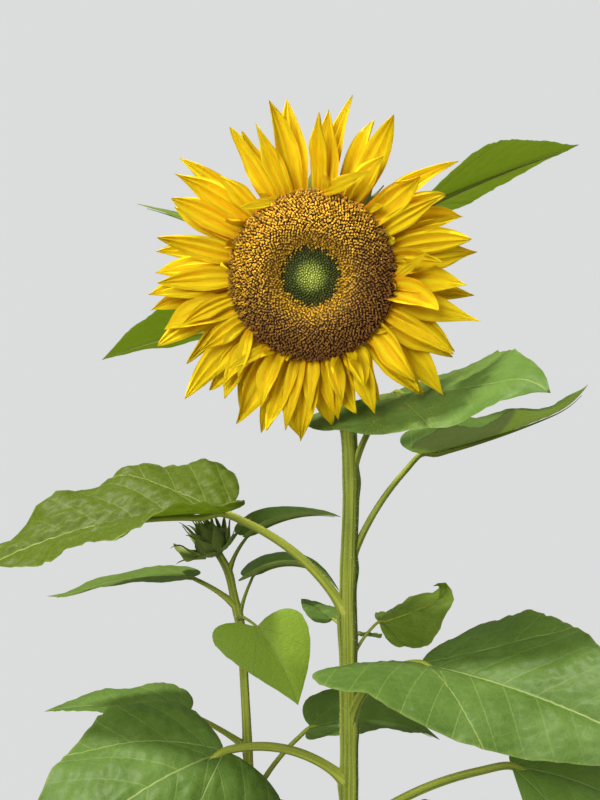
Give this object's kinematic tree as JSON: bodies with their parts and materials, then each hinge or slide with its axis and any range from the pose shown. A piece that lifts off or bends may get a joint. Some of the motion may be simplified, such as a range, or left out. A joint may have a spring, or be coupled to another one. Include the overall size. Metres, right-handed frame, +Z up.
{
  "type": "sunflower plant",
  "caption": "Sunflower plant in flower: an upright leafy stem with one large golden flower head, and a thinner side stem that ends in a green bud.",
  "frame": {"origin": "middle of the flat cut under the main stem, at ground level", "axes": "+Z up along the stem; the flower faces -Y; +X to the right of somebody who faces the flower"},
  "size_m": [0.5431, 0.4933, 1.2271],
  "materials": {
    "stem": "satin, ribbed and finely haired green bark",
    "leaf": "satin green blade with pale veins",
    "bract": "matt green",
    "ray": "satin golden yellow",
    "disc": "matt brown and gold"
  },
  "bodies": {
    "root": {"main_stem": "stem", "side_stem": "stem", "flower_disc": "disc", "ray_florets": "ray", "receptacle": "bract", "flower_bud": "bract", "leaf_01": "leaf", "leaf_02": "leaf", "leaf_03": "leaf", "leaf_04": "leaf", "leaf_05": "leaf", "leaf_06": "leaf", "leaf_07": "leaf", "leaf_08": "leaf", "leaf_09": "leaf", "leaf_10": "leaf", "leaf_11": "leaf", "leaf_12": "leaf", "leaf_13": "leaf", "leaf_14": "leaf", "leaf_15": "leaf", "leaf_16": "leaf", "leaf_17": "leaf", "leaf_18": "leaf", "leaf_19": "leaf", "leaf_20": "leaf", "leaf_21": "leaf", "side_leaf_1": "leaf", "side_leaf_2": "leaf", "side_leaf_3": "leaf", "side_leaf_4": "leaf", "side_leaf_5": "leaf", "side_leaf_6": "leaf", "side_leaf_7": "leaf", "side_leaf_8": "leaf"}
  },
  "joints": []
}
